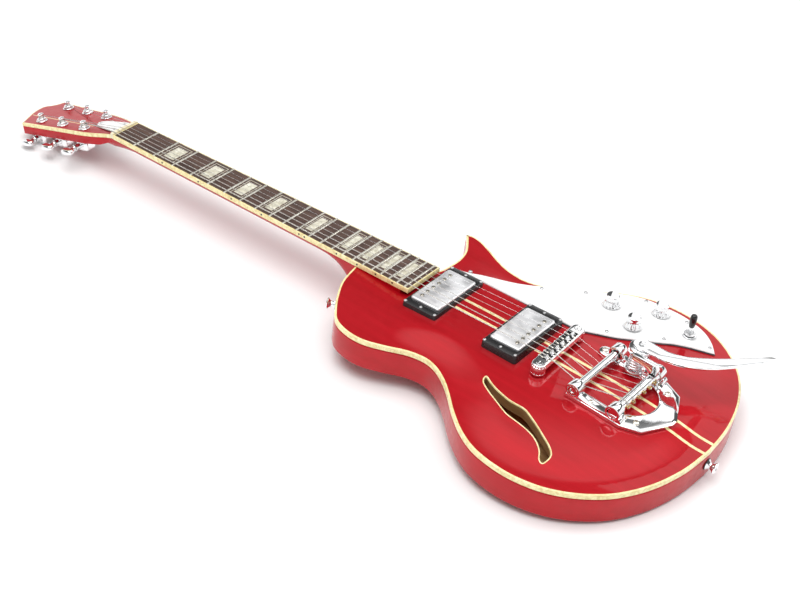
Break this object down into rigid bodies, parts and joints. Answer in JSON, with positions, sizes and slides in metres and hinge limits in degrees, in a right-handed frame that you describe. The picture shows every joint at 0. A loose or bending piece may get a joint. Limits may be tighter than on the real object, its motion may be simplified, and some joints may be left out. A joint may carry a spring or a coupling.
{
  "type": "electric guitar",
  "caption": "Single-cutaway semi-hollow electric guitar with an arched top, one sound hole, a pickguard, a rocking vibrato tailpiece and an angled headstock with tuners on both sides.",
  "frame": {"origin": "on the flat back of the body, on its centreline, under the line that the scale length is measured to", "axes": "+X towards the treble side, +Y towards the headstock, +Z from the back out of the arched top"},
  "size_m": [0.3521, 0.9956, 0.1274],
  "materials": {
    "red_lacquer": "clear gloss over transparent cherry red",
    "rosewood": "satin, open grain",
    "cream_plastic": "polished, pearl figure",
    "white_plastic": "polished",
    "black_plastic": "semi-gloss",
    "pickup_chrome": "bright",
    "chrome": "bright",
    "steel": "plain",
    "string_steel": "wound and plain wire",
    "saddle_brass": "polished"
  },
  "bodies": {
    "guitar": {"body": "red_lacquer", "body_top": "red_lacquer", "neck": "red_lacquer", "fretboard": "rosewood", "nut": "cream_plastic", "truss_rod_cover": "white_plastic", "pickguard": "white_plastic", "neck_pickup_ring": "black_plastic", "bridge_pickup_ring": "black_plastic", "control_plate": "steel", "control_cover": "black_plastic", "switch_body": "chrome", "output_jack": "chrome", "bridge_beam": "chrome", "vibrato_base": "chrome", "vibrato_spring": "steel", "strap_button_upper": "chrome", "strap_button_tail": "chrome", "tuner_housing_1": "chrome", "string_1": "string_steel", "tuner_housing_2": "chrome", "string_2": "string_steel", "tuner_housing_3": "chrome", "string_3": "string_steel", "tuner_housing_4": "chrome", "string_4": "string_steel", "tuner_housing_5": "chrome", "string_5": "string_steel", "tuner_housing_6": "chrome", "string_6": "string_steel"},
    "truss_rod": {"truss_rod": "steel"},
    "neck_pickup": {"neck_pickup": "pickup_chrome"},
    "bridge_pickup": {"bridge_pickup": "pickup_chrome"},
    "knob_1": {"knob_1": "chrome"},
    "knob_2": {"knob_2": "chrome"},
    "knob_3": {"knob_3": "chrome"},
    "switch_lever": {"switch_lever": "black_plastic"},
    "bridge_post_bass": {"bridge_post_bass": "chrome"},
    "bridge_post_treble": {"bridge_post_treble": "chrome"},
    "saddle_1": {"saddle_1": "saddle_brass"},
    "saddle_2": {"saddle_2": "saddle_brass"},
    "saddle_3": {"saddle_3": "saddle_brass"},
    "saddle_4": {"saddle_4": "saddle_brass"},
    "saddle_5": {"saddle_5": "saddle_brass"},
    "saddle_6": {"saddle_6": "saddle_brass"},
    "tension_roller": {"tension_roller": "chrome"},
    "string_shaft": {"string_shaft": "chrome"},
    "vibrato_arm": {"vibrato_arm": "chrome"},
    "tuner_post_1": {"tuner_post_1": "chrome"},
    "tuner_button_1": {"tuner_button_1": "chrome"},
    "tuner_post_2": {"tuner_post_2": "chrome"},
    "tuner_button_2": {"tuner_button_2": "chrome"},
    "tuner_post_3": {"tuner_post_3": "chrome"},
    "tuner_button_3": {"tuner_button_3": "chrome"},
    "tuner_post_4": {"tuner_post_4": "chrome"},
    "tuner_button_4": {"tuner_button_4": "chrome"},
    "tuner_post_5": {"tuner_post_5": "chrome"},
    "tuner_button_5": {"tuner_button_5": "chrome"},
    "tuner_post_6": {"tuner_post_6": "chrome"},
    "tuner_button_6": {"tuner_button_6": "chrome"}
  },
  "joints": [
    {"name": "tuner_button_1_turn", "type": "hinge", "parent": "guitar", "child": "tuner_button_1", "pos_m": [-0.0465, 0.67906, -0.01811], "axis": [1, 0, 0], "continuous": true},
    {"name": "tuner_post_1_turn", "type": "hinge", "parent": "guitar", "child": "tuner_post_1", "pos_m": [-0.0188, 0.67932, 0.00325], "axis": [0, 0.2924, 0.9563], "continuous": true},
    {"name": "tuner_button_2_turn", "type": "hinge", "parent": "guitar", "child": "tuner_button_2", "pos_m": [-0.0465, 0.71483, -0.02905], "axis": [1, 0, 0], "continuous": true},
    {"name": "tuner_post_2_turn", "type": "hinge", "parent": "guitar", "child": "tuner_post_2", "pos_m": [-0.021, 0.71508, -0.00769], "axis": [0, 0.2924, 0.9563], "continuous": true},
    {"name": "tuner_button_3_turn", "type": "hinge", "parent": "guitar", "child": "tuner_button_3", "pos_m": [-0.0465, 0.75079, -0.04004], "axis": [1, 0, 0], "continuous": true},
    {"name": "tuner_post_3_turn", "type": "hinge", "parent": "guitar", "child": "tuner_post_3", "pos_m": [-0.0224, 0.75104, -0.01868], "axis": [0, 0.2924, 0.9563], "continuous": true},
    {"name": "tuner_button_4_turn", "type": "hinge", "parent": "guitar", "child": "tuner_button_4", "pos_m": [0.0465, 0.75079, -0.04004], "axis": [1, 0, 0], "continuous": true},
    {"name": "tuner_post_4_turn", "type": "hinge", "parent": "guitar", "child": "tuner_post_4", "pos_m": [0.0224, 0.75104, -0.01868], "axis": [0, 0.2924, 0.9563], "continuous": true},
    {"name": "tuner_button_5_turn", "type": "hinge", "parent": "guitar", "child": "tuner_button_5", "pos_m": [0.0465, 0.71483, -0.02905], "axis": [1, 0, 0], "continuous": true},
    {"name": "tuner_post_5_turn", "type": "hinge", "parent": "guitar", "child": "tuner_post_5", "pos_m": [0.021, 0.71508, -0.00769], "axis": [0, 0.2924, 0.9563], "continuous": true},
    {"name": "tuner_button_6_turn", "type": "hinge", "parent": "guitar", "child": "tuner_button_6", "pos_m": [0.0465, 0.67906, -0.01811], "axis": [1, 0, 0], "continuous": true},
    {"name": "tuner_post_6_turn", "type": "hinge", "parent": "guitar", "child": "tuner_post_6", "pos_m": [0.0188, 0.67932, 0.00325], "axis": [0, 0.2924, 0.9563], "continuous": true},
    {"name": "truss_rod_turn", "type": "hinge", "parent": "guitar", "child": "truss_rod", "pos_m": [0, 0.39866, 0.0252], "axis": [0, 0.9981, -0.061], "range_deg": [-180, 180]},
    {"name": "neck_pickup_height", "type": "slide", "parent": "guitar", "child": "neck_pickup", "axis": [0, 0.061, 0.9981], "range_m": [-0.0015, 0.0015]},
    {"name": "bridge_pickup_height", "type": "slide", "parent": "guitar", "child": "bridge_pickup", "axis": [0, 0.061, 0.9981], "range_m": [-0.0015, 0.0015]},
    {"name": "knob_1_turn", "type": "hinge", "parent": "guitar", "child": "knob_1", "pos_m": [0.116, 0, 0.052], "axis": [0, 0, 1], "range_deg": [-150, 150]},
    {"name": "knob_2_turn", "type": "hinge", "parent": "guitar", "child": "knob_2", "pos_m": [0.099, -0.038, 0.052], "axis": [0, 0, 1], "range_deg": [-150, 150]},
    {"name": "knob_3_turn", "type": "hinge", "parent": "guitar", "child": "knob_3", "pos_m": [0.146, -0.046, 0.052], "axis": [0, 0, 1], "range_deg": [-150, 150]},
    {"name": "switch_tilt", "type": "hinge", "parent": "guitar", "child": "switch_lever", "pos_m": [0.137, -0.088, 0.04], "axis": [1, 0, 0], "range_deg": [-16, 16]},
    {"name": "bridge_post_bass_turn", "type": "hinge", "parent": "guitar", "child": "bridge_post_bass", "pos_m": [-0.03847, -0.00798, 0.05], "axis": [0, 0, 1], "range_deg": [-180, 180]},
    {"name": "bridge_post_treble_turn", "type": "hinge", "parent": "guitar", "child": "bridge_post_treble", "pos_m": [0.03847, -0.00502, 0.05], "axis": [0, 0, 1], "range_deg": [-180, 180]},
    {"name": "saddle_1_travel", "type": "slide", "parent": "guitar", "child": "saddle_1", "axis": [-0.0384, 0.9993, 0], "range_m": [-0.0015, 0.002]},
    {"name": "saddle_2_travel", "type": "slide", "parent": "guitar", "child": "saddle_2", "axis": [-0.0384, 0.9993, 0], "range_m": [-0.0015, 0.002]},
    {"name": "saddle_3_travel", "type": "slide", "parent": "guitar", "child": "saddle_3", "axis": [-0.0384, 0.9993, 0], "range_m": [-0.0015, 0.002]},
    {"name": "saddle_4_travel", "type": "slide", "parent": "guitar", "child": "saddle_4", "axis": [-0.0384, 0.9993, 0], "range_m": [-0.0015, 0.002]},
    {"name": "saddle_5_travel", "type": "slide", "parent": "guitar", "child": "saddle_5", "axis": [-0.0384, 0.9993, 0], "range_m": [-0.0015, 0.002]},
    {"name": "saddle_6_travel", "type": "slide", "parent": "guitar", "child": "saddle_6", "axis": [-0.0384, 0.9993, 0], "range_m": [-0.0015, 0.002]},
    {"name": "tension_roller_turn", "type": "hinge", "parent": "guitar", "child": "tension_roller", "pos_m": [0, -0.055, 0.056], "axis": [1, 0, 0], "continuous": true},
    {"name": "vibrato_rock", "type": "hinge", "parent": "guitar", "child": "string_shaft", "pos_m": [0, -0.103, 0.056], "axis": [1, 0, 0], "range_deg": [-6, 5], "stiffness_Nm_per_rad": 12, "deforming": ["vibrato_spring"]},
    {"name": "vibrato_arm_swing", "type": "hinge", "parent": "string_shaft", "child": "vibrato_arm", "pos_m": [0.046, -0.077, 0.0745], "axis": [0, 0, 1], "range_deg": [-25, 75]}
  ],
  "couplings": [
    {"joint": "tuner_post_1_turn", "follows": "tuner_button_1_turn", "ratio": 0.071429},
    {"joint": "tuner_post_2_turn", "follows": "tuner_button_2_turn", "ratio": 0.071429},
    {"joint": "tuner_post_3_turn", "follows": "tuner_button_3_turn", "ratio": 0.071429},
    {"joint": "tuner_post_4_turn", "follows": "tuner_button_4_turn", "ratio": 0.071429},
    {"joint": "tuner_post_5_turn", "follows": "tuner_button_5_turn", "ratio": 0.071429},
    {"joint": "tuner_post_6_turn", "follows": "tuner_button_6_turn", "ratio": 0.071429}
  ]
}
